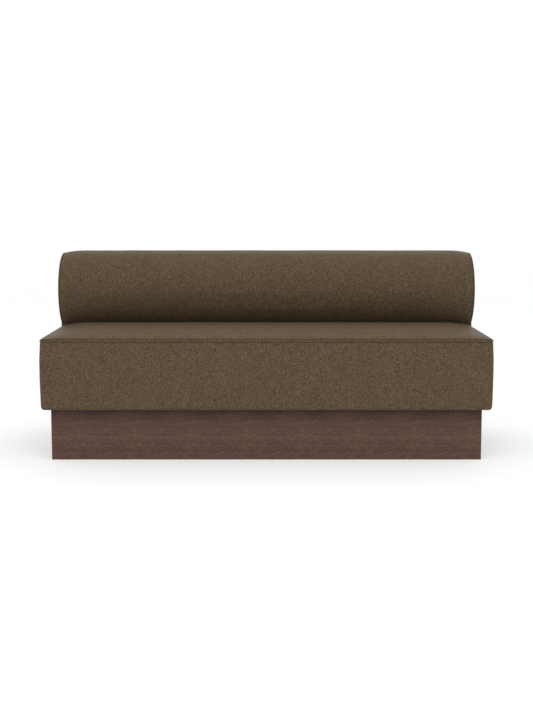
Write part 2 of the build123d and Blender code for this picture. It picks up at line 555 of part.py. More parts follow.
def back_bolts():
    """Bolts, washers and tee nuts that hold the back to the seat, and their holes."""
    seat_face = SEAT_FRAME_REAR_Y - SEAT_RAIL_THICKNESS
    nut_face = RIB_FRONT_Y + BACK_RAIL_THICKNESS
    washer_face = seat_face - WASHER_THICKNESS
    bolts, washers, nuts = [], [], []
    hole_radius = BOLT_RADIUS + BOLT_HOLE_CLEARANCE
    for x in bolt_places():
        start = (x, washer_face, BACK_BOLT_Z)
        head = hexagon(BOLT_HEAD_WIDTH, start, BOLT_HEAD_HEIGHT, (0, -1, 0))
        bolts.append(head + rod(BOLT_RADIUS, start, nut_face - washer_face, (0, 1, 0)))
        washer = rod(WASHER_RADIUS, start, WASHER_THICKNESS, (0, 1, 0))
        washers.append(washer - rod(hole_radius, start, WASHER_THICKNESS, (0, 1, 0)))
        nut = rod(TEE_NUT_FLANGE_RADIUS, (x, nut_face, BACK_BOLT_Z), TEE_NUT_FLANGE, (0, 1, 0))
        nut += rod(TEE_NUT_BARREL_RADIUS, (x, nut_face, BACK_BOLT_Z), TEE_NUT_BARREL, (0, -1, 0))
        nuts.append(nut - rod(hole_radius, (x, nut_face - TEE_NUT_BARREL, BACK_BOLT_Z),
                              TEE_NUT_BARREL + TEE_NUT_FLANGE, (0, 1, 0)))
    nodes["back_bolts"] = group(bolts)
    nodes["back_bolt_washers"] = group(washers)
    nodes["back_tee_nuts"] = group(nuts)
    through = bolt_holes(hole_radius, seat_face, nut_face)
    for name in ("seat_rear_rail", "seat_cover_rear", "back_cover_wrap", "back_mounting_board",
                 "back_front_board", "back_bottom_rail"):
        nodes[name] = nodes[name] - through
    barrels = bolt_holes(TEE_NUT_BARREL_RADIUS + SCREW_FIT, nut_face - TEE_NUT_BARREL, nut_face)
    nodes["back_bottom_rail"] = nodes["back_bottom_rail"] - barrels


def glide_places():
    """The middles of the four corner blocks."""
    x = PLINTH_INNER_X - CORNER_BLOCK / 2
    y = PLINTH_INNER_Y - CORNER_BLOCK / 2
    return [(-x, -y), (x, -y), (-x, y), (x, y)]


def glides():
    """Levelling glides: a pad that swivels on a threaded stem with a hexagon collar."""
    foot_z = GLIDE_FLOOR_GAP + GLIDE_PAD_FLOOR
    pad_top = GLIDE_FLOOR_GAP + GLIDE_PAD_HEIGHT
    stem_top = GLIDE_COLLAR_Z + GLIDE_STEM_LENGTH
    nuts = []
    names = ("front_left", "front_right", "rear_left", "rear_right")
    for name, (x, y) in zip(names, glide_places()):
        pad = rod(GLIDE_PAD_RADIUS, (x, y, GLIDE_FLOOR_GAP), GLIDE_PAD_HEIGHT, (0, 0, 1))
        pad = fillet(pad.edges().filter_by(GeomType.CIRCLE), GLIDE_PAD_ROUNDING)
        pad -= rod(GLIDE_FOOT_RADIUS + GLIDE_RUNNING_FIT, (x, y, foot_z - GLIDE_RUNNING_FIT),
                   GLIDE_FOOT_HEIGHT + 2 * GLIDE_RUNNING_FIT, (0, 0, 1))
        pad -= rod(GLIDE_STEM_RADIUS + GLIDE_RUNNING_FIT, (x, y, foot_z), GLIDE_PAD_HEIGHT, (0, 0, 1))
        stem = rod(GLIDE_STEM_RADIUS, (x, y, foot_z), stem_top - foot_z, (0, 0, 1))
        stem += rod(GLIDE_FOOT_RADIUS, (x, y, foot_z), GLIDE_FOOT_HEIGHT, (0, 0, 1))
        stem += hexagon(GLIDE_COLLAR_WIDTH, (x, y, pad_top + GLIDE_END_FIT), GLIDE_COLLAR_HEIGHT, (0, 0, 1))
        nut = rod(TEE_NUT_FLANGE_RADIUS, (x, y, GLIDE_NUT_Z), TEE_NUT_FLANGE, (0, 0, 1))
        nut += rod(TEE_NUT_BARREL_RADIUS, (x, y, BLOCK_Z), TEE_NUT_BARREL, (0, 0, 1))
        nut -= rod(GLIDE_STEM_RADIUS + GLIDE_RUNNING_FIT, (x, y, GLIDE_NUT_Z),
                   TEE_NUT_FLANGE + TEE_NUT_BARREL, (0, 0, 1))
        nodes["glide_pad_" + name] = pad
        nodes["glide_stem_" + name] = stem
        nuts.append(nut)
    nodes["glide_tee_nuts"] = group(nuts)


plinth()
seat_frame()
seat_foam()
seat_cover()
back_frame()
back_foam()
back_cover()
fixing_screws()
back_bolts()
glides()

os.makedirs("parts", exist_ok=True)
for node_name, node_shape in nodes.items():
    export_step(node_shape, f"parts/{node_name}.step")
print(len(nodes), "nodes")
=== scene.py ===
import json
from math import acos, cos, pi, radians, sin

import bpy
import numpy as np
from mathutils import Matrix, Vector, noise
from mathutils.bvhtree import BVHTree
from mathutils.interpolate import poly_3d_calc


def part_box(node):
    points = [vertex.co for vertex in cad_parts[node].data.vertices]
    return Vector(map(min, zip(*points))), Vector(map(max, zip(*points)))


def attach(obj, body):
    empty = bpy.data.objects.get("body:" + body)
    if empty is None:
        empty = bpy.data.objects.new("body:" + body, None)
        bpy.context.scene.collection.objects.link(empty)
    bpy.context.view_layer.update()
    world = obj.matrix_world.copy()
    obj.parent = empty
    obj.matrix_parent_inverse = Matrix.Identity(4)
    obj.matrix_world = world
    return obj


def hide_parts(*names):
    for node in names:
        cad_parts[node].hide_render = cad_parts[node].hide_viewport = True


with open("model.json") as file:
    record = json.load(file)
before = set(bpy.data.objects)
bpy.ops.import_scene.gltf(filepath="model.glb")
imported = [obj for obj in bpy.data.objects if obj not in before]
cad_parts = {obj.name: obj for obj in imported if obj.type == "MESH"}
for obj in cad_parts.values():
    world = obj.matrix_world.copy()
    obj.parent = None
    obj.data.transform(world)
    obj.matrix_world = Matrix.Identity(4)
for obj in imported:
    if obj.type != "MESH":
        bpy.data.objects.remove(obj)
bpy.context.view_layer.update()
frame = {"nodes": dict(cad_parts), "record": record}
NODES = frame["nodes"]

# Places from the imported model, in metres
boxing_low, boxing_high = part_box("seat_cover_boxing")
top_low, top_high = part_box("seat_cover_top")
lining_low, lining_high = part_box("seat_cover_rear")
seat_cloth_low, seat_cloth_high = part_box("seat_base_cloth")
back_cloth_low, back_cloth_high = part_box("back_base_cloth")
seat_piping_low, seat_piping_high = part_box("seat_piping")
wrap_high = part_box("back_cover_wrap")[1]
rear_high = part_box("back_cover_rear")[1]

HALF_WIDTH = boxing_high.x
FRONT_Y = boxing_low.y
SEAT_REAR_Y = boxing_high.y
UPRIGHT_Y = lining_high.y
REAR_Y = rear_high.y
PLINTH_TOP = boxing_low.z
BASE_Z = seat_cloth_high.z
CROWN_Z = top_low.z
SEAT_TOP = top_high.z
SEAM_Z = (seat_piping_low.z + seat_piping_high.z) / 2
BACK_END_X = wrap_high.x
ROLL_Z = rear_high.z
ROLL_RADIUS = wrap_high.z - ROLL_Z
ROLL_Y = REAR_Y - ROLL_RADIUS

# Seat form: boxing that bulges between its seam and its lower edge, under a crowned top
SEAM_INSET = 0.0050
LOWER_INSET = 0.0020
UPPER_POWER, LOWER_POWER = 1.9, 1.6
WIDEST_LOW, WIDEST_HIGH = PLINTH_TOP + 0.120, PLINTH_TOP + 0.170
LOWER_RADIUS = 0.014
LOWER_STEPS = 7
BOXING_UNDER_SEAM = 0.0092
CORNER_RADIUS = 0.014
CORNER_LOSS_PER_INSET = 0.75
CORNER_LEAST_RADIUS = 0.004
CORNER_CELLS = 5
SEAT_CELL = 0.0068
CROWN_RUN_ENDS, CROWN_RUN_FRONT = 0.135, 0.125
CROWN_POWER, CROWN_POWER_FRONT = 1.15, 0.56
CROWN_EDGE_INSET, CROWN_EDGE_RISE = 0.0006, 0.0018
REAR_EDGE_RUN, REAR_EDGE_DROP = 0.004, 0.003
RECESS_MARGIN = 0.001
COVER_TO_BASE = 0.0004

# The groove that the seat's cord lies in: insets from the seam's and heights from its middle
GROOVE = ((-0.0002, -0.0066), (0.0007, -0.0048), (0.0022, -0.0037), (0.0040, -0.0027),
          (0.0046, 0.0), (0.0036, 0.0024), (0.0020, 0.0034))
GROOVE_HALF = 0.0045

# The top's yarns are drawn twice as long from front to rear
TOP_WEAVE = (1.0, 0.5)

# Back form: a roll on an upright, a crease that runs in under the roll, and domed ends
TAPER_RUN = 0.100
TAPER_THIN = 0.0035
TAPER_SINK = 0.0060
TAPER_POWER = 2.6
FOLD_DEPTH = 0.0185
FOLD_DEPTH_AT_END = 0.0038
FOLD_RUN = 0.026
FOLD_RISE = 0.0060
FOLD_CELLS = 6
SIDE_CELLS = 74
CAP_CELLS = 20
TAPER_CELLS = 12
BACK_CELL = 0.0085
END_DOME, END_DOME_RUN = 0.0042, (0.07, 0.0)
EDGE_DOME, EDGE_DOME_RUN = 0.0012, (0.005, 0.001)
REAR_SEAM_DEPTH, REAR_SEAM_WITHIN = 0.0016, 0.01
SAME_PLACE = 1e-5

# The roll's angles between which its end panels have their top side
TOP_FROM, TOP_TO = radians(120), radians(60)

# How far the back's cover is drawn in at distances from its end
END_FROM = np.array([0.0, 0.0015, 0.0030, 0.0044, 0.0060, 0.0080])
END_DRAWN = np.array([0.0036, 0.0027, 0.0016, 0.0008, 0.0002, 0.0])

# Piping and stitches
CORD_RADIUS = 0.0031
CORD_INSET = 0.0032
CORD_RISE = 0.0005
CORD_CORNER = 0.0060
CORD_SIDES = 10
CORD_WAVER = 0.04
CORD_WAVER_LENGTH = 0.013
END_CORD_X = BACK_END_X + 0.0018
END_CORD_SUNK = 0.0026
TRIM_STEP = 0.006
TRIM_CORNER_STEPS = 8
STITCH_PITCH = 0.0062
STITCH_LENGTH = 0.0042
STITCH_RADIUS = 0.00042
STITCH_RINGS, STITCH_SIDES = 5, 6
STITCH_BLUNT = 0.12
STITCH_SUNK = 0.8
STITCH_MAP_STEPS = (0.0009, 0.0007)
SEAT_STITCH_PROUD, SEAT_STITCH_DROP = 0.0004, 0.0085
REAR_STITCH_PROUD, REAR_STITCH_OFFSET = 0.0002, 0.0065
REAR_STITCH_STEP, REAR_STITCH_FROM_END = 0.02, 0.012

# Where a cover comes loose: the run over which it does so, and where that run starts
LOOSE_AT_REAR = (0.020, 0.004)
LOOSE_AT_PLINTH = (0.006, 0.001)
LOOSE_AT_SEAM = (0.030, 0.0)
LOOSE_ON_CROWN = (0.010, 0.002)
LOOSE_AT_END = (0.030, 0.0)
LOOSE_AT_BASE = (0.05, 0.01)
LOOSE_OVER_SEAT = (0.05, -0.11)
BEHIND_FOLD = 0.002

# Where a cover is held while it swells
SEAT_HELD_BAND, SEAT_HELD_EDGE = 0.010, 0.016
TUCK_DEPTH, TUCK_UNDER_ROLL = 0.022, 0.10
REAR_HELD_DEPTH, REAR_HELD_BAND = 0.02, 0.008
BACK_HELD_END = 0.012

# Softness: waves as height, length and seed, puckers at seams, and the simulated swelling, for
# which the forms start a little inside their final place. A sheet's waves are a share of its sag
SEAT_WAVES = ((0.00045, 0.16, 1), (0.00030, 0.055, 2))
BACK_WAVES = ((0.0006, 0.17, 4), (0.0003, 0.06, 5))
SHEET_WAVES = (0.6, 0.09, 8)
SEED_SHIFT = (3.71, 1.93, 5.27)
PUCKER_HEIGHT = 0.0005
PUCKER_REACH = 0.010
PUCKER_FROM_END = 0.004
SEAT_PUCKER, BACK_PUCKER = 0.011, 0.012
REAR_FACE_RUN = 0.04
TOP_START, SIDE_START, REAR_START = 0.0024, 0.0010, 0.0022
SWELL_CAP = 0.0040
CLOTH_VOXEL = 0.014
CLOTH_FRAMES = 16
CLOTH_SETTINGS = {"quality": 4, "mass": 0.02, "tension_stiffness": 12.0,
                  "compression_stiffness": 12.0, "shear_stiffness": 4.0, "bending_stiffness": 0.4,
                  "use_pressure": True, "uniform_pressure_force": 0.4, "vertex_group_mass": "held"}

# Base cloths and lining
SHEET_THICKNESS = 0.0006
SHEET_CELL = 0.02
SHEET_RISE = 0.0011
SHEET_SAG = 0.0005
LINING_GAP = 0.0002
LINING_INSET = 0.002


# Shared forms


def ease(distance, run, start=0.0):
    """Rises smoothly from 0 at a start to 1 at the end of a run."""
    t = np.clip((distance - start) / run, 0.0, 1.0)
    return t * t * (3 - 2 * t)


def waves(points, *layers):
    """Smooth waves over a form, in layers that each have a height, a length and a seed."""
    total = np.zeros(len(points))
    for height, length, seed in layers:
        shift = Vector([seed * part for part in SEED_SHIFT])
        total += height * np.array([noise.noise(Vector(p) / length + shift) for p in points])
    return total


def ripples(run, length, across, layer=0.0):
    """Smooth values between about -1 and 1 along a run, which change over a length of it."""
    return np.array([noise.noise(Vector((a / length, b, layer)))
                     for a, b in np.broadcast(run, across)])


def unit(vectors):
    """Vectors made one long."""
    return vectors / np.maximum(np.linalg.norm(vectors, axis=1, keepdims=True), 1e-12)


def path_run(path):
    """The length of a path up to each of its points."""
    return np.concatenate([[0.0], np.cumsum(np.linalg.norm(np.diff(path, axis=0), axis=1))])


def grid_cells(grid, flip=False):
    """The four corners of every cell of a grid of indices or places; a flip turns them round."""
    corners = [grid[:-1, :-1], grid[1:, :-1], grid[1:, 1:], grid[:-1, 1:]]
    if flip:
        corners = corners[:1] + corners[:0:-1]
    cells = np.stack(corners, axis=2)
    return cells.reshape(-1, *cells.shape[2:])


def tube_faces(rings, sides, closed=False):
    """The faces of a tube of rings, with a cap at both ends unless it closes on itself."""
    rows = np.arange(rings * sides).reshape(rings, sides)
    around = np.hstack([rows, rows[:, :1]])
    if closed:
        return grid_cells(np.vstack([around, around[:1]]), flip=True).tolist()
    return grid_cells(around, flip=True).tolist() + [rows[0, ::-1].tolist(), rows[-1].tolist()]


def box_lattice(nx, ny, nz):
    """The surface of a box of cells: places as whole numbers, outward quads, and each quad's side.

    The sides are 0 top, 1 underside, 2 front, 3 rear, 4 and 5 the ends.
    """
    codes = np.arange((nx + 1) * (ny + 1) * (nz + 1)).reshape(nx + 1, ny + 1, nz + 1)
    parts = [grid_cells(codes[:, :, -1]), grid_cells(codes[:, :, 0], flip=True),
             grid_cells(codes[:, 0]), grid_cells(codes[:, -1], flip=True),
             grid_cells(codes[-1]), grid_cells(codes[0], flip=True)]
    sides = np.repeat(np.arange(len(parts)), [len(part) for part in parts])
    quads = np.concatenate(parts)
    used, indices = np.unique(quads, return_inverse=True)
    return np.stack(np.unravel_index(used, codes.shape), axis=1), indices.reshape(quads.shape), sides


def vertex_normals(vertices, faces):
    """Unit normals of a closed quad mesh."""
    corners = vertices[faces]
    across = np.cross(corners[:, 2] - corners[:, 0], corners[:, 3] - corners[:, 1])
    normals = np.zeros_like(vertices)
    for corner in range(4):
        np.add.at(normals, faces[:, corner], across)
    return unit(normals)


def make_object(name, vertices, faces, material=None, uv=None):
    """A mesh object, with a map in metres for its weave. Only its quads are smooth."""
    faces = faces.tolist() if isinstance(faces, np.ndarray) else faces
    mesh = bpy.data.meshes.new(name)
    mesh.from_pydata(np.asarray(vertices, float).tolist(), [], faces)
    if material is not None:
        mesh.materials.append(material)
    if uv is not None:
        layer = mesh.uv_layers.new(name="weave")
        layer.data.foreach_set("uv", np.asarray(uv, np.float32).ravel())
    mesh.polygons.foreach_set("use_smooth", [len(face) == 4 for face in faces])
    mesh.update()
    obj = bpy.data.objects.new(name, mesh)
    bpy.context.scene.collection.objects.link(obj)
    return obj


def sofa_piece(name, vertices, faces, material, uv):
    """A piece of the scene that belongs to the sofa's body."""
    obj = make_object(name, vertices, faces, material, uv)
    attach(obj, "sofa")
    return obj


def vertex_places(mesh):
    """The places of a mesh's vertices as an array."""
    places = np.empty(3 * len(mesh.vertices), np.float32)
    mesh.vertices.foreach_get("co", places)
    return places.reshape(-1, 3).astype(float)


def swell(points, faces, normals, held):
    """How far each point of a closed form moves out when a coarse cloth copy of it swells.

    The copy swells under air pressure, and held says which of its points are fixed. The foam
    inside stops the cover, so that no point moves inwards.
    """
    scene = bpy.context.scene
    copy = make_object("swelling_copy", points, faces)
    remesh = copy.modifiers.new("remesh", "REMESH")
    remesh.mode, remesh.voxel_size = "VOXEL", CLOTH_VOXEL
    remeshed = copy.evaluated_get(bpy.context.evaluated_depsgraph_get())
    coarse = bpy.data.meshes.new_from_object(remeshed)
    copy.modifiers.clear()
    copy.data = coarse
    rest = vertex_places(coarse)
    group = copy.vertex_groups.new(name="held")
    for index, fixed in enumerate(held(*rest.T)):
        group.add([index], float(fixed), "REPLACE")
    cloth = copy.modifiers.new("cloth", "CLOTH")
    for key, value in CLOTH_SETTINGS.items():
        setattr(cloth.settings, key, value)
    cloth.settings.effector_weights.gravity = 0.0
    cloth.collision_settings.use_collision = False
    cloth.point_cache.frame_start, cloth.point_cache.frame_end = 1, CLOTH_FRAMES
    for frame_number in range(1, CLOTH_FRAMES + 1):
        scene.frame_set(frame_number)
    settled = copy.evaluated_get(bpy.context.evaluated_depsgraph_get()).to_mesh()
    moved = vertex_places(settled) - rest
    length = np.linalg.norm(moved, axis=1)[:, None]
    moved *= SWELL_CAP * np.tanh(length / SWELL_CAP) / np.maximum(length, 1e-9)
    polygons = [polygon.vertices[:] for polygon in coarse.polygons]
    tree = BVHTree.FromPolygons(rest.tolist(), polygons)
    result = np.zeros(len(points))
    for index, point in enumerate(points):
        place, _, face, _ = tree.find_nearest(Vector(point))
        corners = polygons[face]
        weights = poly_3d_calc([Vector(rest[corner]) for corner in corners], place)
        result[index] = max(0.0, np.dot(np.dot(weights, moved[list(corners)]), normals[index]))
    bpy.data.objects.remove(copy)
    bpy.data.meshes.remove(coarse)
    scene.frame_set(1)
    return result


# Materials


def grey(value):
    """A grey with its alpha."""
    return (value, value, value, 1.0)


def rgba(colour, scale=1.0):
    """A colour times a factor, with its alpha."""
    return (*(scale * part for part in colour), 1.0)


class Shader:
    """A material with its main shader, and short calls that add nodes to it."""

    def __init__(self, name, **settings):
        self.material = bpy.data.materials.new(name)
        self.material.use_nodes = True
        self.tree = self.material.node_tree
        self.main = self.tree.nodes["Principled BSDF"]
        for key, value in settings.items():
            self.main.inputs[key.replace("_", " ")].default_value = value

    def node(self, kind, inputs, **settings):
        """A node with its settings, and with its inputs linked or set."""
        made = self.tree.nodes.new("ShaderNode" + kind)
        for key, value in settings.items():
            setattr(made, key, value)
        for key, value in inputs.items():
            if isinstance(value, bpy.types.NodeSocket):
                self.tree.links.new(value, made.inputs[key])
            else:
                made.inputs[key].default_value = value
        return made

    def math(self, operation, *values):
        return self.node("Math", dict(enumerate(values)), operation=operation).outputs[0]

    def blend(self, share, first, second):
        """A share of one value, and the rest of another."""
        return self.math("ADD", self.math("MULTIPLY", first, share),
                         self.math("MULTIPLY", second, 1 - share))

    def vector_sum(self, first, second):
        return self.node("VectorMath", {0: first, 1: second}, operation="ADD").outputs[0]

    def object_place(self):
        return self.node("TexCoord", {}).outputs["Object"]

    def weave_place(self):
        return self.node("UVMap", {}, uv_map="weave").outputs[0]

    def split(self, vector):
        return self.node("SeparateXYZ", {0: vector}).outputs

    def join(self, x, y, z):
        return self.node("CombineXYZ", {0: x, 1: y, 2: z}).outputs[0]

    def noise(self, vector, scale, detail=2.0, roughness=0.5, distortion=0.0):
        inputs = {"Vector": vector, "Scale": scale, "Detail": detail, "Roughness": roughness,
                  "Distortion": distortion}
        return self.node("TexNoise", inputs).outputs["Fac"]

    def stretched_noise(self, vector, scales, detail=2.0, roughness=0.5, distortion=0.0):
        """Noise with a scale of its own along each axis."""
        place = self.node("Mapping", {"Vector": vector, "Scale": scales}).outputs[0]
        return self.noise(place, 1.0, detail, roughness, distortion)

    def ramp(self, value, *stops):
        made = self.node("ValToRGB", {"Fac": value})
        elements = made.color_ramp.elements
        while len(elements) < len(stops):
            elements.new(0.5)
        for element, (place, colour) in zip(elements, stops):
            element.position = place
            element.color = rgba(colour[:3])
        return made.outputs["Color"]

    def greys(self, value, *stops):
        return self.ramp(value, *[(place, grey(level)) for place, level in stops])

    def mix(self, factor, first, second, blend="MIX"):
        """One colour over another. The mixing node's colours are its inputs 6 and 7."""
        inputs = {0: factor, 6: first, 7: second}
        return self.node("Mix", inputs, data_type="RGBA", blend_type=blend).outputs[2]

    def shaded(self, colour, value, *stops):
        """A colour multiplied by the greys that a value picks."""
        return self.mix(1.0, colour, self.greys(value, *stops), "MULTIPLY")

    def bump(self, height, strength, distance, **under):
        inputs = {"Height": height, "Strength": strength, "Distance": distance, **under}
        return self.node("Bump", inputs).outputs[0]

    def link(self, output, name):
        self.tree.links.new(output, self.main.inputs[name])


# Yarn colours as shares of a base colour: brown, orange brown, taupe and cool grey
YARN_SHADES = ((0.0, (0.44, 0.42, 0.42)), (0.13, (0.50, 0.48, 0.48)), (0.20, (0.74, 0.74, 0.74)),
               (0.44, (0.88, 0.88, 0.88)), (0.54, (1.08, 1.08, 1.06)), (0.64, (1.64, 1.40, 1.05)),
               (0.76, (1.56, 1.32, 0.98)), (0.82, (1.04, 1.18, 1.42)), (0.90, (1.44, 1.56, 1.80)),
               (1.0, (2.10, 2.10, 2.10)))
YARN_RUN = 0.0044
YARN_STRAY = 0.0016
YARN_SHIFTS = 9.0
YARN_STRAY_SCALE = 110.0
TWILL_ROWS, TWILL_OVER = 4.0, 1.5
WEFT_ROWS_FROM = 5000.5


def cover_fabric(name, base, pitch):
    """A melange wool twill: crossed yarns, two over two, that change colour along their length."""
    s = Shader(name, Specular_IOR_Level=0.08, Sheen_Weight=0.085, Sheen_Roughness=0.35,
               Sheen_Tint=(1.0, 0.84, 0.64, 1.0))
    place = s.weave_place()
    stray = s.node("TexNoise", {"Vector": place, "Scale": YARN_STRAY_SCALE}).outputs["Color"]
    stray = s.vector_sum(stray, (-0.5, -0.5, -0.5))
    stray = s.node("VectorMath", {0: stray, "Scale": YARN_STRAY}, operation="SCALE").outputs[0]
    split = s.split(s.vector_sum(place, stray))
    across, along = s.math("DIVIDE", split[0], pitch), s.math("DIVIDE", split[1], pitch)
    column, row = s.math("FLOOR", across), s.math("FLOOR", along)
    step = s.math("FLOORED_MODULO", s.math("ADD", column, row), TWILL_ROWS)
    warp_over = s.math("LESS_THAN", step, TWILL_OVER)
    weft_over = s.math("SUBTRACT", 1.0, warp_over)

    def woven(warp, weft):
        return s.math("ADD", s.math("MULTIPLY", warp_over, warp), s.math("MULTIPLY", weft_over, weft))

    def yarn_tone(yarn, length):
        start = s.node("TexWhiteNoise", {"W": yarn}, noise_dimensions="1D").outputs["Value"]
        pieces = s.math("ADD", s.math("MULTIPLY", length, pitch / YARN_RUN),
                        s.math("MULTIPLY", start, YARN_SHIFTS))
        where = s.join(yarn, s.math("FLOOR", pieces), 0.0)
        return s.node("TexWhiteNoise", {"Vector": where}, noise_dimensions="2D").outputs["Value"]

    def yarn_round(length):
        return s.math("SINE", s.math("MULTIPLY", s.math("FRACT", length), pi))

    weft_row = s.math("ADD", row, WEFT_ROWS_FROM)
    tone = woven(yarn_tone(column, along), yarn_tone(weft_row, across))
    colour = s.ramp(tone, *[(stop, [b * shade for b, shade in zip(base, shades)])
                            for stop, shades in YARN_SHADES])
    fluff = s.noise(place, 1300.0, roughness=0.6)
    patches = s.noise(place, 7.0)
    slubs = s.stretched_noise(place, (100.0, 40.0, 1.0), roughness=0.6)
    colour = s.shaded(colour, fluff, (0.25, 0.86), (0.75, 1.12))
    colour = s.shaded(colour, patches, (0.30, 0.97), (0.70, 1.03))
    s.link(s.shaded(colour, slubs, (0.34, 0.955), (0.66, 1.045)), "Base Color")
    s.link(s.math("MULTIPLY_ADD", fluff, 0.10, 0.45), "Roughness")
    yarns = s.bump(woven(yarn_round(across), yarn_round(along)), 0.65, 0.00050)
    s.link(s.bump(fluff, 0.3, 0.0002, Normal=yarns), "Normal")
    return s.material


LEAF_WIDTH = 0.207
CURL_LEVEL, CURL_WIDTH, CURL_DARK = 0.47, 0.035, 0.50
GRAIN_SWAY = 0.010

# Rows of curls up the plinth, as shares of its height
CURL_ROWS = ((0.0, 0.0), (0.15, 0.0), (0.22, 1.0), (0.28, 0.0), (0.41, 0.0), (0.46, 0.9),
             (0.51, 0.0), (0.74, 0.0), (0.80, 1.0), (0.86, 0.0), (1.0, 0.0))

# The plinth's colour over its height: lighter in its lowest few millimetres, and painted shade that
# darkens it towards its top for the shadow under the seat
PLINTH_PAINTED_SHADE = ((0.0, 1.14), (0.004, 1.02), (PLINTH_TOP - 0.09, 1.0), (PLINTH_TOP - 0.040, 0.88),
                 (PLINTH_TOP - 0.018, 0.65), (PLINTH_TOP, 0.55))


def veneer(name, axis, low, middle, high):
    """Stained veneer in matched leaves: long bands, fine streaks and small dark curls, with painted
    shade towards the plinth's top.
    """
    s = Shader(name, Specular_IOR_Level=0.14, Coat_Weight=0.03, Coat_Roughness=0.4)
    split = s.split(s.object_place())
    height = split["Z"]

    # The grain runs round a ring that is one leaf long, so that each leaf repeats the last
    turn = s.math("MULTIPLY", split[axis], 2 * pi / LEAF_WIDTH)
    reach = LEAF_WIDTH / (2 * pi)
    ring = s.join(s.math("MULTIPLY", s.math("COSINE", turn), reach),
                  s.math("MULTIPLY", s.math("SINE", turn), reach), height)
    sway = s.stretched_noise(ring, (22.0, 22.0, 30.0), detail=1.0)
    bent = s.vector_sum(ring, s.join(0.0, 0.0, s.math("MULTIPLY", sway, GRAIN_SWAY)))
    bands = s.stretched_noise(ring, (5.0, 5.0, 42.0), detail=3.0)
    streaks = s.stretched_noise(bent, (60.0, 60.0, 260.0), detail=4.0, roughness=0.62)
    pores = s.stretched_noise(bent, (160.0, 160.0, 1300.0), detail=3.0, roughness=0.65)
    curls = s.stretched_noise(bent, (52.0, 52.0, 120.0), distortion=0.9)
    off_line = s.math("ABSOLUTE", s.math("SUBTRACT", curls, CURL_LEVEL))
    line = s.greys(off_line, (0.0, 1.0), (CURL_WIDTH, 0.0))
    rows = s.greys(s.math("DIVIDE", height, PLINTH_TOP), *CURL_ROWS)
    places = s.greys(s.stretched_noise(ring, (30.0, 30.0, 16.0), detail=1.0), (0.46, 0.0), (0.54, 1.0))
    curl = s.math("MULTIPLY", s.math("MULTIPLY", line, rows), s.math("MULTIPLY", places, CURL_DARK))
    colour = s.ramp(s.blend(0.4, bands, streaks), (0.34, low), (0.50, middle), (0.66, high))
    colour = s.mix(curl, colour, rgba(low, 0.30))
    colour = s.shaded(colour, pores, (0.34, 0.86), (0.50, 1.0))
    # Painted shade: the veneer darkens towards the plinth's top, for the shadow under the seat's
    # overhang
    s.link(s.shaded(colour, height, *PLINTH_PAINTED_SHADE), "Base Color")
    s.link(s.math("MULTIPLY_ADD", pores, -0.12, 0.56), "Roughness")
    s.link(s.bump(pores, 0.25, 0.00015), "Normal")
    return s.material


GRAIN = (3.0, 60.0, 60.0)
PORES = tuple(9 * scale for scale in GRAIN)


def timber(name, low, high, pore):
    """Plain softwood or plywood: streaks along X and fine pores."""
    s = Shader(name, Specular_IOR_Level=0.3)
    place = s.object_place()
    streaks = s.stretched_noise(place, GRAIN, detail=4.0, roughness=0.6, distortion=0.3)
    fine = s.stretched_noise(place, PORES, roughness=0.6)
    colour = s.ramp(streaks, (0.36, low), (0.66, high))
    s.link(s.mix(s.greys(fine, (0.36, 0.5), (0.5, 0.0)), colour, rgba(pore)), "Base Color")
    s.link(s.math("MULTIPLY_ADD", streaks, 0.2, 0.58), "Roughness")
    s.link(s.bump(fine, 0.3, 0.0002), "Normal")
    return s.material


def plain_cloth(name, base, pitch=0.0014, mapped=True, roughness=0.88):
    """A plain technical cloth with crossed threads."""
    s = Shader(name, Roughness=roughness, Sheen_Weight=0.15, Sheen_Roughness=0.5)
    place = s.weave_place() if mapped else s.object_place()
    crossed = [s.math("SINE", s.math("MULTIPLY", part, 2 * pi / pitch)) for part in s.split(place)[:2]]
    threads = s.math("MULTIPLY_ADD", s.math("MULTIPLY", *crossed), 0.5, 0.5)
    tone = s.blend(0.35, threads, s.noise(place, 40.0, detail=3.0, roughness=0.6))
    s.link(s.ramp(tone, (0.25, rgba(base, 0.65)), (0.75, rgba(base, 1.3))), "Base Color")
    s.link(s.bump(threads, 0.4, 0.0003), "Normal")
    return s.material


def metal(name, base, roughness):
    """Zinc-plated steel with faint spangle and rubbed patches."""
    s = Shader(name, Metallic=1.0)
    place = s.object_place()
    spangle = s.node("TexVoronoi", {"Vector": place, "Scale": 420.0}).outputs["Color"]
    rubbed = s.noise(place, 160.0, detail=3.0, roughness=0.6)
    tone = s.blend(0.3, s.node("RGBToBW", {0: spangle}).outputs[0], rubbed)
    s.link(s.ramp(tone, (0.2, rgba(base, 0.82)), (0.8, base)), "Base Color")
    s.link(s.math("MULTIPLY_ADD", tone, 0.25, roughness - 0.1), "Roughness")
    s.link(s.bump(rubbed, 0.1, 0.0001), "Normal")
    return s.material


def plastic(name, base):
    """Moulded plastic with a fine matt texture and scuffs."""
    s = Shader(name)
    place = s.object_place()
    scuffs = s.stretched_noise(place, (120.0, 700.0, 200.0), detail=4.0, roughness=0.7)
    s.link(s.ramp(scuffs, (0.4, base), (0.75, rgba(base, 1.9))), "Base Color")
    s.link(s.math("MULTIPLY_ADD", scuffs, 0.3, 0.4), "Roughness")
    s.link(s.bump(s.noise(place, 2400.0), 0.2, 0.0001), "Normal")
    return s.material


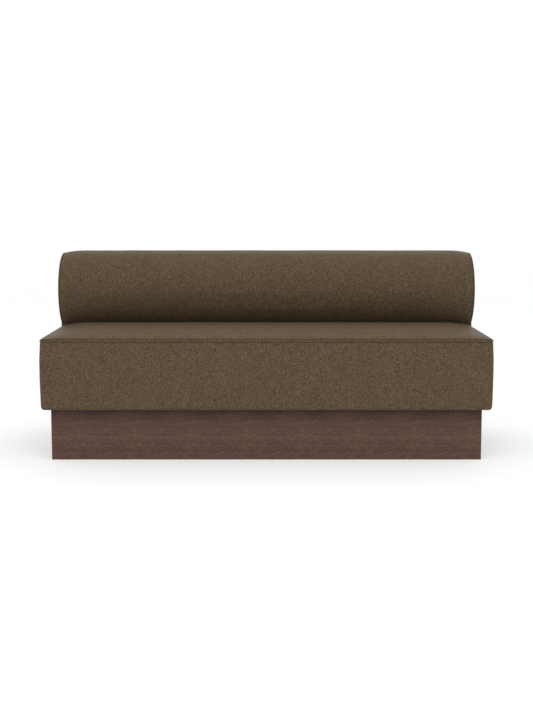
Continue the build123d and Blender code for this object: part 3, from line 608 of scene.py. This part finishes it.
FABRIC = cover_fabric("melange_cover", (0.0925, 0.0656, 0.0398), pitch=0.0016)
# The piping is the cover's fabric painted about a ninth lighter: painted light, for the light that the
# cord catches in its seam
PIPING = cover_fabric("melange_piping", (0.1030, 0.0735, 0.0450), pitch=0.0015)
THREAD = plain_cloth("seam_thread", (0.070, 0.056, 0.042), pitch=0.0009)
LINING = plain_cloth("black_lining", (0.030, 0.029, 0.028))
STAIN = ((0.052, 0.0262, 0.0192), (0.096, 0.0517, 0.0387), (0.140, 0.0775, 0.0590))
VENEER_LONG = veneer("veneer_long", "X", *STAIN)
VENEER_SIDE = veneer("veneer_side", "Y", *STAIN)
SLOT_MATERIALS = {
    "plywood": timber("birch_plywood", (0.46, 0.31, 0.17), (0.62, 0.45, 0.27), (0.30, 0.19, 0.10)),
    "softwood": timber("pine", (0.55, 0.36, 0.17), (0.70, 0.50, 0.28), (0.38, 0.22, 0.10)),
    "foam": plain_cloth("foam_grey", (0.45, 0.45, 0.42), 0.0030, mapped=False, roughness=1.0),
    "webbing": plain_cloth("elastic_webbing", (0.060, 0.058, 0.054), 0.0026, mapped=False),
    "felt": plain_cloth("grey_felt", (0.22, 0.21, 0.20), 0.0040, mapped=False, roughness=1.0),
    "zinc_steel": metal("zinc_steel", (0.72, 0.73, 0.74), 0.36),
    "glide_plastic": plastic("black_glide", (0.022, 0.022, 0.023)),
    "cover_fabric": FABRIC,
    "piping_fabric": PIPING,
    "lining": LINING,
}

for part in frame["record"]["subparts"]:
    name, slot = part["node"], part["material_slot"]
    if slot == "stained_veneer":
        material = VENEER_LONG if name in ("plinth_front", "plinth_rear") else VENEER_SIDE
    else:
        material = SLOT_MATERIALS[slot]
    NODES[name].data.materials.clear()
    NODES[name].data.materials.append(material)


# Seat


def shoulder(distance, run, power):
    """Rises from 0 at an edge to 1 at a run from it, like the side of an ellipse."""
    t = np.clip(1 - distance / run, 0, 1)
    return (1 - t ** 2) ** (power / 2)


def crown_ends(x):
    """The height of the crown over its edge, away from its front."""
    inside = HALF_WIDTH - SEAM_INSET - np.abs(x)
    return (SEAT_TOP - CROWN_Z) * shoulder(inside, CROWN_RUN_ENDS, CROWN_POWER)


def crown_front(y):
    """The share of the crown's height that its steep front has reached."""
    return shoulder(y - FRONT_Y - SEAM_INSET, CROWN_RUN_FRONT, CROWN_POWER_FRONT)


def crown_height(x, y):
    """The top's height over its edge."""
    return crown_ends(x) * crown_front(y)


def boxing_inset(z):
    """How far the boxing lies inside the seat's widest line, near its seam and its lower edge."""
    upper = np.clip((z - WIDEST_HIGH) / (SEAM_Z - CORD_RADIUS - WIDEST_HIGH), 0, 1)
    lower = np.clip((WIDEST_LOW - z) / (WIDEST_LOW - PLINTH_TOP - LOWER_RADIUS), 0, 1)
    return SEAM_INSET * upper ** UPPER_POWER + LOWER_INSET * lower ** LOWER_POWER


def seat_profile():
    """Insets and heights of the seat's side from its lower edge to the crown's edge."""
    levels = []
    for step in range(LOWER_STEPS):
        angle = step / LOWER_STEPS * pi / 2
        levels.append((LOWER_INSET + LOWER_RADIUS * (1 - sin(angle)),
                       PLINTH_TOP + LOWER_RADIUS * (1 - cos(angle))))
    low, high = PLINTH_TOP + LOWER_RADIUS, SEAM_Z - BOXING_UNDER_SEAM
    count = int((high - low) / SEAT_CELL)
    for step in range(count + 1):
        z = low + (high - low) * step / count
        levels.append((boxing_inset(z), z))
    levels += [(SEAM_INSET + inset, SEAM_Z + rise) for inset, rise in GROOVE]
    levels.append((SEAM_INSET + CROWN_EDGE_INSET, CROWN_Z + CROWN_EDGE_RISE))
    return np.array(levels)


def cell_lines(low, high, both):
    """Lines between cells, which are short at the rounded corner of the low end or of both."""
    first, last = low + CORNER_RADIUS, high - CORNER_RADIUS if both else high
    lines = [np.linspace(low, first, CORNER_CELLS + 1)[:-1],
             np.linspace(first, last, int((last - first) / SEAT_CELL) + 1)]
    if both:
        lines.append(np.linspace(last, high, CORNER_CELLS + 1)[1:])
    return np.concatenate(lines)


def round_plan(x, y, inset):
    """Moves the plan's outline inwards and rounds its two front corners."""
    half = HALF_WIDTH - inset
    depth = SEAT_REAR_Y - FRONT_Y
    x = x * half / HALF_WIDTH
    y = SEAT_REAR_Y - (SEAT_REAR_Y - y) * (depth - inset) / depth
    radius = np.maximum(CORNER_RADIUS - CORNER_LOSS_PER_INSET * inset, CORNER_LEAST_RADIUS)
    centre_x, centre_y = half - radius, FRONT_Y + inset + radius
    u = np.clip((np.abs(x) - centre_x) / radius, 0, 1)
    v = np.clip((centre_y - y) / radius, 0, 1)
    corner = (u > 0) & (v > 0)
    new_x = np.sign(x) * (centre_x + radius * u * np.sqrt(1 - v ** 2 / 2))
    new_y = centre_y - radius * v * np.sqrt(1 - u ** 2 / 2)
    return np.where(corner, new_x, x), np.where(corner, new_y, y)


def seat_held(x, y, z):
    """The points of the seat's cover that can't swell: its seam, its lower edge and its rear."""
    edge = np.minimum(HALF_WIDTH - np.abs(x), y - FRONT_Y)
    seam = (np.abs(z - SEAM_Z) < SEAT_HELD_BAND) & (edge < SEAT_HELD_EDGE)
    return seam | (z < PLINTH_TOP + SEAT_HELD_BAND) | (y > SEAT_REAR_Y - SEAT_HELD_BAND)


def seat_map(points, faces, sides):
    """The seat's map: its top and underside from above, its front and rear, and its ends."""
    corners = points[faces]
    flat = corners[..., :2] * TOP_WEAVE
    flat[..., 1] += (SEAT_TOP - CROWN_Z) * crown_front(corners[..., 1])
    side = sides[:, None, None]
    return np.where(side < 2, flat, np.where(side > 3, corners[..., [1, 2]], corners[..., [0, 2]]))


def seat_cushion():
    """The box cushion: crowned top, bulging boxing, drawn-in seam and a return under the frame."""
    xs = cell_lines(-HALF_WIDTH, HALF_WIDTH, both=True)
    ys = cell_lines(FRONT_Y, SEAT_REAR_Y, both=False)
    levels = seat_profile()
    places, faces, sides = box_lattice(len(xs) - 1, len(ys) - 1, len(levels) - 1)
    inset, z = levels[places[:, 2]].T
    x, y = round_plan(xs[places[:, 0]], ys[places[:, 1]], inset)
    top = places[:, 2] == len(levels) - 1
    rear_edge = np.clip((y - (SEAT_REAR_Y - REAR_EDGE_RUN)) / REAR_EDGE_RUN, 0, 1)
    z = np.where(top, z + crown_height(x, y), z)
    z = np.where(top, z - REAR_EDGE_DROP * (1 - np.sqrt(1 - rear_edge ** 2)), z)
    recessed = ((places[:, 2] == 0) & (np.abs(x) < seat_cloth_high.x + RECESS_MARGIN)
                & (y > seat_cloth_low.y - RECESS_MARGIN))
    z = np.where(recessed, BASE_Z - COVER_TO_BASE, z)
    points = np.stack([x, y, z], axis=1)
    normals = vertex_normals(points, faces)

    # Waves and swelling where the cover is loose, and puckers along its seam
    from_rear = ease(SEAT_REAR_Y - y, *LOOSE_AT_REAR)
    from_cord = np.abs(z - SEAM_Z)
    from_seam = np.where(top, ease(crown_height(x, y), *LOOSE_ON_CROWN), ease(from_cord, *LOOSE_AT_SEAM))
    free = ease(z - PLINTH_TOP, *LOOSE_AT_PLINTH) * from_rear * from_seam
    moved = free * (waves(points, *SEAT_WAVES) - np.where(top, TOP_START, SIDE_START))
    moved += free * swell(points, faces, normals, seat_held)
    on_front = np.abs(normals[:, 1]) > np.abs(normals[:, 0])
    pucker = ripples(np.where(on_front, x, y), SEAT_PUCKER, across=7.3)
    near_seam = np.exp(-from_cord / PUCKER_REACH) * (from_cord > GROOVE_HALF)
    moved += PUCKER_HEIGHT * pucker * near_seam * from_rear
    points = points + normals * moved[:, None]

    cushion = sofa_piece("seat_cushion", points, faces, FABRIC,
                         seat_map(points, faces, sides))
    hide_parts("seat_cover_top", "seat_cover_boxing", "seat_foam", "seat_padding_front",
                "seat_padding_left", "seat_padding_right", "seat_felt")


# Sewn trim


def piping_cord(name, path, closed, hint):
    """A cord along a path, with a map in metres. The hint is a direction across the path."""
    if closed:
        ahead, behind = np.roll(path, -1, axis=0), np.roll(path, 1, axis=0)
    else:
        ahead = np.vstack([path[1:], 2 * path[-1:] - path[-2:-1]])
        behind = np.vstack([2 * path[:1] - path[1:2], path[:-1]])
    tangent = unit(ahead - behind)
    first = unit(np.cross(tangent, hint))
    second = np.cross(first, tangent)
    run = path_run(path)
    radius = CORD_RADIUS * (1 + CORD_WAVER * ripples(run, CORD_WAVER_LENGTH, across=3.1))
    angles = np.arange(CORD_SIDES) * 2 * pi / CORD_SIDES
    rings = (first[:, None, :] * np.cos(angles)[None, :, None]
             + second[:, None, :] * np.sin(angles)[None, :, None])
    points = path[:, None, :] + radius[:, None, None] * rings
    if closed:
        run = np.append(run, run[-1] + np.linalg.norm(path[0] - path[-1]))
    around = np.arange(CORD_SIDES + 1) * 2 * pi * CORD_RADIUS / CORD_SIDES
    grid = np.stack(np.meshgrid(run, around, indexing="ij"), axis=-1)
    uv = grid_cells(grid, flip=True).reshape(-1, 2)
    if not closed:
        uv = np.vstack([uv, np.zeros((2 * CORD_SIDES, 2))])
    return sofa_piece(name, points.reshape(-1, 3), tube_faces(len(path), CORD_SIDES, closed), PIPING,
                      uv)


def stitches(name, path, outward):
    """A row of short stitches along a path, each sunk a little at its ends."""
    run = path_run(path)
    count = int(run[-1] / STITCH_PITCH)
    middle = (np.arange(count) + 0.5) * run[-1] / count

    def along(values, where):
        return np.stack([np.interp(where, run, column) for column in values.T], axis=1)

    up = unit(along(outward, middle))[:, None, None]
    tangent = unit(along(path, middle + STITCH_LENGTH / 2) - along(path, middle - STITCH_LENGTH / 2))
    tangent = tangent[:, None, None]
    side = np.cross(up, tangent)
    t = np.linspace(-1, 1, STITCH_RINGS)[:, None, None]
    angles = (np.arange(STITCH_SIDES) * 2 * pi / STITCH_SIDES)[:, None]
    size = STITCH_RADIUS * np.sqrt(np.maximum(STITCH_BLUNT, 1 - t ** 4))
    centres = (along(path, middle)[:, None, None] + tangent * (t * STITCH_LENGTH / 2)
               - up * (STITCH_SUNK * STITCH_RADIUS * t ** 2))
    points = centres + size * (side * np.cos(angles) + up * np.sin(angles))
    one = tube_faces(STITCH_RINGS, STITCH_SIDES)
    starts = np.arange(count) * STITCH_RINGS * STITCH_SIDES
    faces = [[int(start) + corner for corner in face] for start in starts for face in one]
    corners = np.arange(sum(len(face) for face in faces))
    uv = np.stack([corners % 4, corners // 4], axis=1) * STITCH_MAP_STEPS
    sofa_piece(name, points.reshape(-1, 3), faces, THREAD, uv)


def seat_path(inset, z, radius):
    """A line round the seat's ends and front at one height, with its outward directions."""
    centre_x, centre_y = HALF_WIDTH - inset - radius, FRONT_Y + inset + radius
    along_side = np.linspace(SEAT_REAR_Y, centre_y, int((SEAT_REAR_Y - FRONT_Y - inset) / TRIM_STEP))
    along_front = np.linspace(-centre_x, centre_x, int(2 * (HALF_WIDTH - inset) / TRIM_STEP))
    turn = np.linspace(0, pi / 2, TRIM_CORNER_STEPS + 1)[1:-1]
    stops = [(-centre_x, y, pi) for y in along_side]
    stops += [(-centre_x, centre_y, pi + angle) for angle in turn]
    stops += [(x, centre_y, 1.5 * pi) for x in along_front]
    stops += [(centre_x, centre_y, 1.5 * pi + angle) for angle in turn]
    stops += [(centre_x, y, 2 * pi) for y in along_side[::-1]]
    x, y, angle = np.array(stops).T
    outward = np.stack([np.cos(angle), np.sin(angle), np.zeros(len(stops))], axis=1)
    return np.stack([x, y, np.full(len(stops), z)], axis=1) + radius * outward, outward


def seat_trim():
    """The piping in the seat's seam and the stitch line under it."""
    path, _ = seat_path(CORD_INSET + CORD_RADIUS, SEAM_Z + CORD_RISE, CORD_CORNER)
    piping = piping_cord("seat_piping_cord", path, closed=False, hint=(0.0, 0.0, 1.0))
    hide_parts("seat_piping")
    stitches("seat_seam_stitches", *seat_path(SEAM_INSET - SEAT_STITCH_PROUD, SEAM_Z - SEAT_STITCH_DROP,
                                              CORNER_RADIUS - SEAM_INSET))


# Back


def roll_form(x):
    """The roll's radius and its middle's height: near its ends it is a little thinner and lower."""
    t = np.clip((np.abs(x) - (BACK_END_X - TAPER_RUN)) / TAPER_RUN, 0, 1) ** TAPER_POWER
    return ROLL_RADIUS - TAPER_THIN * t, ROLL_Z - TAPER_SINK * t


def back_outline(radius, centre_z, front_y, low_z, fold=0.0):
    """The back's outline in (y, z), from its lower front corner up, over the roll and down the rear.

    A fold is how far the crease under the roll runs in behind the upright's face.
    """

    def arc(first, last, cells):
        return [(ROLL_Y + radius * cos(angle), centre_z + radius * sin(angle))
                for angle in np.linspace(first, last, cells + 1)[1:]]

    start = pi + acos((ROLL_Y - front_y - fold) / radius)
    fold_z = centre_z + radius * sin(start)
    rise, fold_cells = (FOLD_RISE, FOLD_CELLS) if fold else (0.0, 0)
    upright = fold_z - rise - low_z
    spare = SIDE_CELLS - fold_cells
    upright_cells = round(spare * upright / (upright + radius * (start - TOP_FROM)))
    front = [(front_y, z) for z in np.linspace(low_z, fold_z - rise, upright_cells + 1)]
    if fold:
        front += [(front_y + fold * (1 - cos(angle)), fold_z - rise * (1 - sin(angle)))
                  for angle in np.linspace(0, pi / 2, fold_cells + 1)[1:]]
    front += arc(start, TOP_FROM, spare - upright_cells)
    top = arc(TOP_FROM, TOP_TO, CAP_CELLS)
    rear_arc, rear_fall = radius * TOP_TO, centre_z - low_z
    arc_cells = round(SIDE_CELLS * rear_arc / (rear_arc + rear_fall))
    rear_y = ROLL_Y + radius
    rear = arc(TOP_TO, 0, arc_cells)
    rear += [(rear_y, z) for z in np.linspace(centre_z, low_z, SIDE_CELLS - arc_cells + 1)[1:]]
    bottom = [(y, low_z) for y in np.linspace(rear_y, front_y, CAP_CELLS + 1)[1:-1]]
    return np.array(front + top + rear + bottom)


def back_shell(low_z):
    """The back's cover without its end panels: a grid of places by station and outline point."""
    inner = BACK_END_X - TAPER_RUN
    middle = np.linspace(-inner, inner, int(2 * inner / BACK_CELL) + 1)
    end = np.concatenate([np.linspace(inner, BACK_END_X - END_FROM[-1], TAPER_CELLS + 1)[1:],
                          BACK_END_X - END_FROM[-2::-1]])
    stations = np.concatenate([-end[::-1], middle, end])
    from_end = BACK_END_X - np.abs(stations)
    drawn_in = np.interp(from_end, END_FROM, END_DRAWN)
    folds = FOLD_DEPTH_AT_END + (FOLD_DEPTH - FOLD_DEPTH_AT_END) * ease(from_end, FOLD_RUN)
    loops = []
    for x, drawn, fold in zip(stations, drawn_in, folds):
        radius, centre_z = roll_form(x)
        outline = back_outline(radius - drawn, centre_z, UPRIGHT_Y + drawn, low_z, fold)
        loops.append(np.column_stack([np.full(len(outline), x), outline]))
    return stations, np.array(loops)


def outline_sides(loop):
    """Splits the back's outline into its front, top, rear and bottom, which share their corners."""
    top_start, top_end = SIDE_CELLS, SIDE_CELLS + CAP_CELLS
    rear_end = top_end + SIDE_CELLS
    bottom = np.concatenate([loop[:1], loop[rear_end:][::-1]])
    return loop[:top_start + 1], loop[top_start:top_end + 1], loop[top_end:rear_end + 1][::-1], bottom


def end_panel(loop, side):
    """The inner places of an end panel, stretched between the outline's four sides and domed."""
    front, top, rear, bottom = outline_sides(loop)
    s = np.linspace(0, 1, SIDE_CELLS + 1)[:, None, None]
    t = np.linspace(0, 1, CAP_CELLS + 1)[None, :, None]
    a, b, c, d = front[:, None], rear[:, None], bottom[None], top[None]
    patch = (1 - t) * a + t * b + (1 - s) * c + s * d
    patch -= ((1 - s) * (1 - t) * c[:, :1] + (1 - s) * t * c[:, -1:]
              + s * (1 - t) * d[:, :1] + s * t * d[:, -1:])
    inside = patch[1:-1, 1:-1].reshape(-1, 3)
    distance = np.sqrt(((inside[:, None, 1:] - loop[None, :, 1:]) ** 2).sum(-1)).min(1)
    dome = (EDGE_DOME * ease(distance, *EDGE_DOME_RUN)
            + (END_DOME - EDGE_DOME) * ease(distance, *END_DOME_RUN))
    inside[:, 0] = loop[0, 0] + side * dome
    return inside


def close_back(vertices, faces, uv, around):
    """Adds the two end panels to the back's cover and says which vertices are theirs."""
    ends = np.zeros(len(vertices), bool)
    for side, first in ((1, len(vertices) - around), (-1, 0)):
        loop = first + np.arange(around)
        grid = np.full((SIDE_CELLS + 1, CAP_CELLS + 1), -1)
        grid[:, 0], grid[-1, :], grid[:, -1], grid[0, :] = outline_sides(loop)
        inside = end_panel(vertices[loop], side)
        grid[1:-1, 1:-1] = len(vertices) + np.arange(len(inside)).reshape(SIDE_CELLS - 1, CAP_CELLS - 1)
        vertices = np.vstack([vertices, inside])
        ends = np.append(ends, np.ones(len(inside), bool))
        quads = grid_cells(grid, flip=True)
        if side < 0:
            quads = quads[:, ::-1]
        faces = np.vstack([faces, quads])
        uv = np.concatenate([uv, vertices[quads][..., 1:]])
    return vertices, faces, uv, ends


def back_held(x, y, z):
    """The points of the back's cover that can't swell: where it is tucked in, sewn or fixed."""
    tucked = (y < UPRIGHT_Y + TUCK_DEPTH) & (z < ROLL_Z - TUCK_UNDER_ROLL)
    seam = (y > REAR_Y - REAR_HELD_DEPTH) & (np.abs(z - ROLL_Z) < REAR_HELD_BAND)
    return tucked | seam | (z < BASE_Z + BACK_HELD_END) | (np.abs(x) > BACK_END_X - BACK_HELD_END)


def back_bolster():
    """The back: a roll on an upright, wrapped in one cover, with a padded panel at each end."""
    low_z = BASE_Z + COVER_TO_BASE
    stations, shell = back_shell(low_z)
    count, around = shell.shape[:2]
    codes = np.arange(count * around).reshape(count, around)
    faces = grid_cells(np.hstack([codes, codes[:, :1]]))
    outline = shell[count // 2][:, 1:]
    girth = path_run(np.vstack([outline, outline[:1]]))
    uv = grid_cells(np.stack(np.meshgrid(stations, girth, indexing="ij"), axis=-1))
    vertices, faces, uv, ends = close_back(shell.reshape(-1, 3), faces, uv, around)
    normals = vertex_normals(vertices, faces)

    # Waves and swelling where the cover is loose, puckers round its ends, and its drawn-in rear seam
    x, y, z = vertices.T
    from_end = BACK_END_X - np.abs(x)
    to_end = ease(from_end, *LOOSE_AT_END)
    behind_seat = (y < UPRIGHT_Y + FOLD_DEPTH + BEHIND_FOLD) & (z < ROLL_Z)
    over_seat = np.where(behind_seat, ease(z - ROLL_Z, *LOOSE_OVER_SEAT), 1.0)
    free = ease(z - low_z, *LOOSE_AT_BASE) * over_seat
    rear_face = ease(y - REAR_Y, REAR_FACE_RUN, -REAR_FACE_RUN)
    moved = (waves(vertices, *BACK_WAVES) - REAR_START * rear_face) * to_end * free
    moved += to_end * free * swell(vertices, faces, normals, back_held)
    around_roll = np.arctan2(z - ROLL_Z, y - ROLL_Y) * ROLL_RADIUS
    pucker = ripples(around_roll, BACK_PUCKER, across=z / BACK_PUCKER, layer=1.7)
    near_end = np.exp(-np.abs(from_end - PUCKER_FROM_END) / PUCKER_REACH) * ~ends
    moved += PUCKER_HEIGHT * pucker * near_end * free
    rear_seam = (y > REAR_Y - REAR_SEAM_WITHIN) & (np.abs(z - roll_form(x)[1]) < SAME_PLACE)
    moved -= REAR_SEAM_DEPTH * rear_seam * to_end
    vertices = vertices + normals * moved[:, None]

    bolster = sofa_piece("back_bolster", vertices, faces, FABRIC, uv)
    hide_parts("back_cover_wrap", "back_cover_rear", "back_end_cover_left",
                "back_end_cover_right", "back_roll_foam", "back_upright_foam", "back_rear_foam",
                "back_end_padding_left", "back_end_padding_right")


def back_trim():
    """Piping round both ends of the back, and a stitch line over and under its rear seam."""
    radius, centre_z = roll_form(BACK_END_X)
    outline = back_outline(radius - END_CORD_SUNK, centre_z, UPRIGHT_Y + END_CORD_SUNK,
                           BASE_Z + END_CORD_SUNK + COVER_TO_BASE)
    for side, name in ((-1, "left"), (1, "right")):
        path = np.column_stack([np.full(len(outline), side * END_CORD_X), outline])
        piping = piping_cord(f"back_piping_cord_{name}", path, closed=True, hint=(1.0, 0.0, 0.0))
        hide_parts(f"back_piping_{name}")
    reach = BACK_END_X - REAR_STITCH_FROM_END
    xs = np.arange(-reach, reach, REAR_STITCH_STEP)
    outward = np.tile([0.0, 1.0, 0.0], (len(xs), 1))
    for height, name in ((REAR_STITCH_OFFSET, "over"), (-REAR_STITCH_OFFSET, "under")):
        line = np.column_stack([xs, np.full(len(xs), REAR_Y + REAR_STITCH_PROUD),
                                np.full(len(xs), ROLL_Z + height)])
        stitches(f"back_rear_stitches_{name}", line, outward)


# Sheets


def tight_sheet(name, low, high, head=None):
    """A tight sheet of cloth between two corners, flat, or upright with its top from a function."""
    start, end = (low.y, high.y) if head is None else (low.z, high.z)
    across = np.linspace(low.x, high.x, int((high.x - low.x) / SHEET_CELL) + 1)
    length = np.linspace(0, 1, int((end - start) / SHEET_CELL) + 1)
    x, t = np.meshgrid(across, length, indexing="ij")
    if head is None:
        y = start + t * (end - start)
        flat = np.stack([x, y, np.zeros(x.shape)], axis=-1).reshape(-1, 3)
        hang = np.sin(pi * (x - low.x) / (high.x - low.x)) * np.sin(pi * t)
        uneven = 1 + waves(flat, SHEET_WAVES).reshape(x.shape)
        z = low.z + SHEET_RISE - SHEET_SAG * np.sqrt(np.clip(hang, 0, 1)) * uneven
        shift, uv = (0.0, 0.0, SHEET_THICKNESS), np.stack([x, y], axis=-1)
    else:
        y = np.full(x.shape, low.y + LINING_GAP)
        z = start + t * (head(x) - start)
        shift, uv = (0.0, SHEET_THICKNESS, 0.0), np.stack([x, z], axis=-1)
    first = np.stack([x, y, z], axis=-1).reshape(-1, 3)
    code = np.arange(x.size).reshape(x.shape)
    quads = grid_cells(code, flip=True)
    if head is not None:
        quads = quads[:, ::-1]
    rim = np.concatenate([code[:-1, 0], code[-1, :-1], code[1:, -1][::-1], code[0, 1:][::-1]])
    following = np.roll(rim, -1)
    edge = np.stack([rim, following, following + x.size, rim + x.size], axis=-1)
    faces = np.vstack([quads, quads[:, ::-1] + x.size, edge])
    uv = np.vstack([uv.reshape(-1, 2)] * 2)[faces]
    return sofa_piece(name, np.vstack([first, first + shift]), faces, LINING, uv)


def cloths():
    """The cloths under the seat and the back, and the lining over the seat's rear."""
    for part, low, high in (("seat", seat_cloth_low, seat_cloth_high),
                            ("back", back_cloth_low, back_cloth_high)):
        base_sheet = tight_sheet(f"{part}_base_sheet", low, high)
        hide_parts(f"{part}_base_cloth")
    half = HALF_WIDTH - SEAM_INSET - LINING_INSET
    low = Vector((-half, lining_low.y, BASE_Z))
    high = Vector((half, lining_high.y, SEAT_TOP))
    lining = tight_sheet("seat_rear_lining", low, high,
                         head=lambda x: CROWN_Z - LINING_INSET + crown_ends(x))
    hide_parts("seat_cover_rear")


seat_cushion()
seat_trim()
back_bolster()
back_trim()
cloths()


# Floor, light and camera
FLOOR_REACH = 9.0
LIGHT_AIM = (0.0, 0.0, 0.4)
LIGHT_SIZE = (3.4, 1.4)
LENS, SENSOR = 60.05, 36.0
CAMERA_PLACE = (0.0, -4.646, 0.944)
CAMERA_DOWN_DEGREES = 7.3


def area_light(name, place, power):
    """A large soft light that faces the sofa and leaves no reflection."""
    data = bpy.data.lights.new(name, "AREA")
    data.shape = "RECTANGLE"
    data.size, data.size_y = LIGHT_SIZE
    data.energy = power
    lamp = bpy.data.objects.new(name, data)
    lamp.location = place
    lamp.rotation_euler = (Vector(LIGHT_AIM) - Vector(place)).to_track_quat("-Z", "Y").to_euler()
    lamp.visible_glossy = False
    bpy.context.scene.collection.objects.link(lamp)


floor_shader = Shader("studio_floor", Base_Color=grey(0.62), Roughness=0.9, Specular_IOR_Level=0.1,
                      Emission_Color=grey(1.0), Emission_Strength=0.36)
floor_corners = [(x * FLOOR_REACH, y * FLOOR_REACH, 0.0)
                 for x, y in ((-1, -1), (1, -1), (1, 1), (-1, 1))]
floor = make_object("studio_floor", floor_corners, [[0, 1, 2, 3]], floor_shader.material)

world = bpy.data.worlds.new("studio")
bpy.context.scene.world = world
world.use_nodes = True
background = world.node_tree.nodes["Background"]
background.inputs["Color"].default_value = grey(1.0)
background.inputs["Strength"].default_value = 1.0

area_light("key", place=(0.0, -2.7, 3.5), power=24.0)
area_light("fill", place=(0.0, -4.0, 1.75), power=11.0)
area_light("rim", place=(0.0, 2.8, 3.4), power=17.0)

camera_data = bpy.data.cameras.new("camera")
camera_data.lens = LENS
camera_data.sensor_width = SENSOR
camera = bpy.data.objects.new("camera", camera_data)
camera.location = CAMERA_PLACE
camera.rotation_euler = (radians(90 - CAMERA_DOWN_DEGREES), 0.0, 0.0)
bpy.context.scene.collection.objects.link(camera)
bpy.context.scene.camera = camera
bpy.context.scene.view_settings.view_transform = "Standard"
